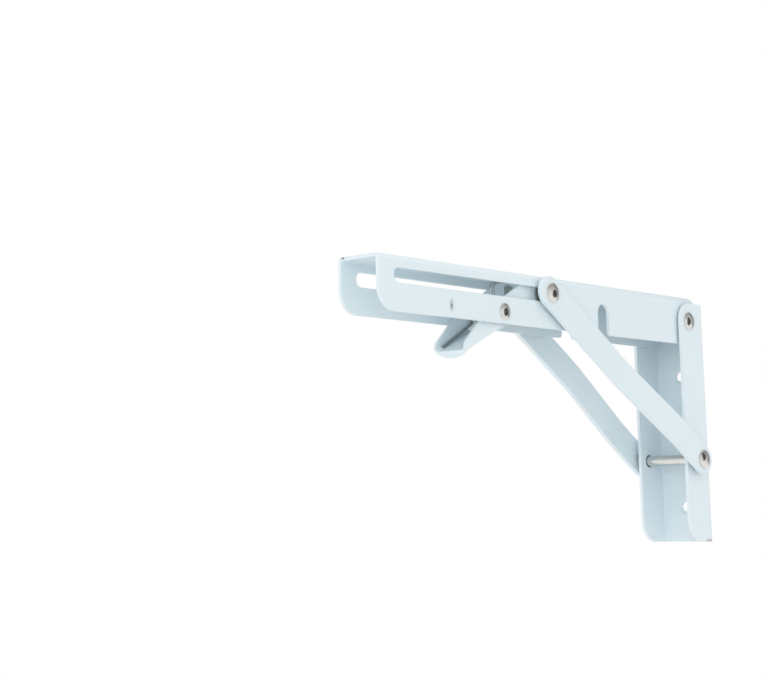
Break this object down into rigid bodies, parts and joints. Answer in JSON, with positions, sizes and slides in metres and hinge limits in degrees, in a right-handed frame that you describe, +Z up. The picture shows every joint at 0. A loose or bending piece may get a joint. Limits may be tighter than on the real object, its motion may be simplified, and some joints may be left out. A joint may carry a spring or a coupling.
{
  "type": "folding shelf bracket",
  "caption": "Folding shelf bracket: a channel wall leg, a hinged channel arm, brace bars that slide in the arm's slots, and a release lever that locks it open.",
  "frame": {"origin": "on the wall face of the leg, in its centre plane, level with the fold pivot", "axes": "+Z up along the wall, +Y into the wall, so the open arm reaches towards -Y, and +X to the bracket's right seen from the room"},
  "size_m": [0.054, 0.3, 0.1515],
  "materials": {
    "leg_paint": "satin powder coat",
    "arm_paint": "satin powder coat",
    "bar_paint": "satin powder coat",
    "lever_paint": "satin powder coat",
    "rivet_steel": "bright",
    "washer_steel": "satin",
    "spring_steel": "satin"
  },
  "bodies": {
    "leg": {"wall_leg": "leg_paint", "fold_rivet": "rivet_steel", "brace_rivet": "rivet_steel", "fold_washer_right": "washer_steel", "fold_washer_left": "washer_steel", "brace_washer_right": "washer_steel", "brace_washer_left": "washer_steel"},
    "arm": {"shelf_arm": "arm_paint", "lever_rivet": "rivet_steel", "lever_spring": "spring_steel", "lever_washer_right": "washer_steel", "lever_washer_left": "washer_steel"},
    "brace": {"brace_bar_right": "bar_paint", "brace_bar_left": "bar_paint", "eye_rivet_right": "rivet_steel", "eye_rivet_left": "rivet_steel"},
    "slide": {"slide_stud_right": "rivet_steel", "slide_stud_left": "rivet_steel", "stud_washer_right": "washer_steel", "stud_washer_left": "washer_steel"},
    "lever": {"release_lever": "lever_paint", "lever_spring_end": "spring_steel"}
  },
  "joints": [
    {"name": "arm_fold", "type": "hinge", "parent": "leg", "child": "arm", "pos_m": [0, -0.0165, 0], "axis": [1, 0, 0], "range_deg": [0, 90]},
    {"name": "brace_swing", "type": "hinge", "parent": "leg", "child": "brace", "pos_m": [0, -0.0165, -0.086], "axis": [1, 0, 0], "range_deg": [0, 120.8]},
    {"name": "stud_slide", "type": "slide", "parent": "arm", "child": "slide", "axis": [0, -1, 0], "range_m": [0, 0.11278]},
    {"name": "lever_press", "type": "hinge", "parent": "arm", "child": "lever", "pos_m": [0, -0.197, -0.0075], "axis": [-1, 0, 0], "range_deg": [0, 28], "stiffness_Nm_per_rad": 0.3, "springref_deg": -20.05}
  ],
  "couplings": [
    {"joint": "brace_swing", "follows": "arm_fold", "ratio": 1.3417},
    {"joint": "stud_slide", "follows": "arm_fold", "m_per_rad": 0.071766}
  ]
}
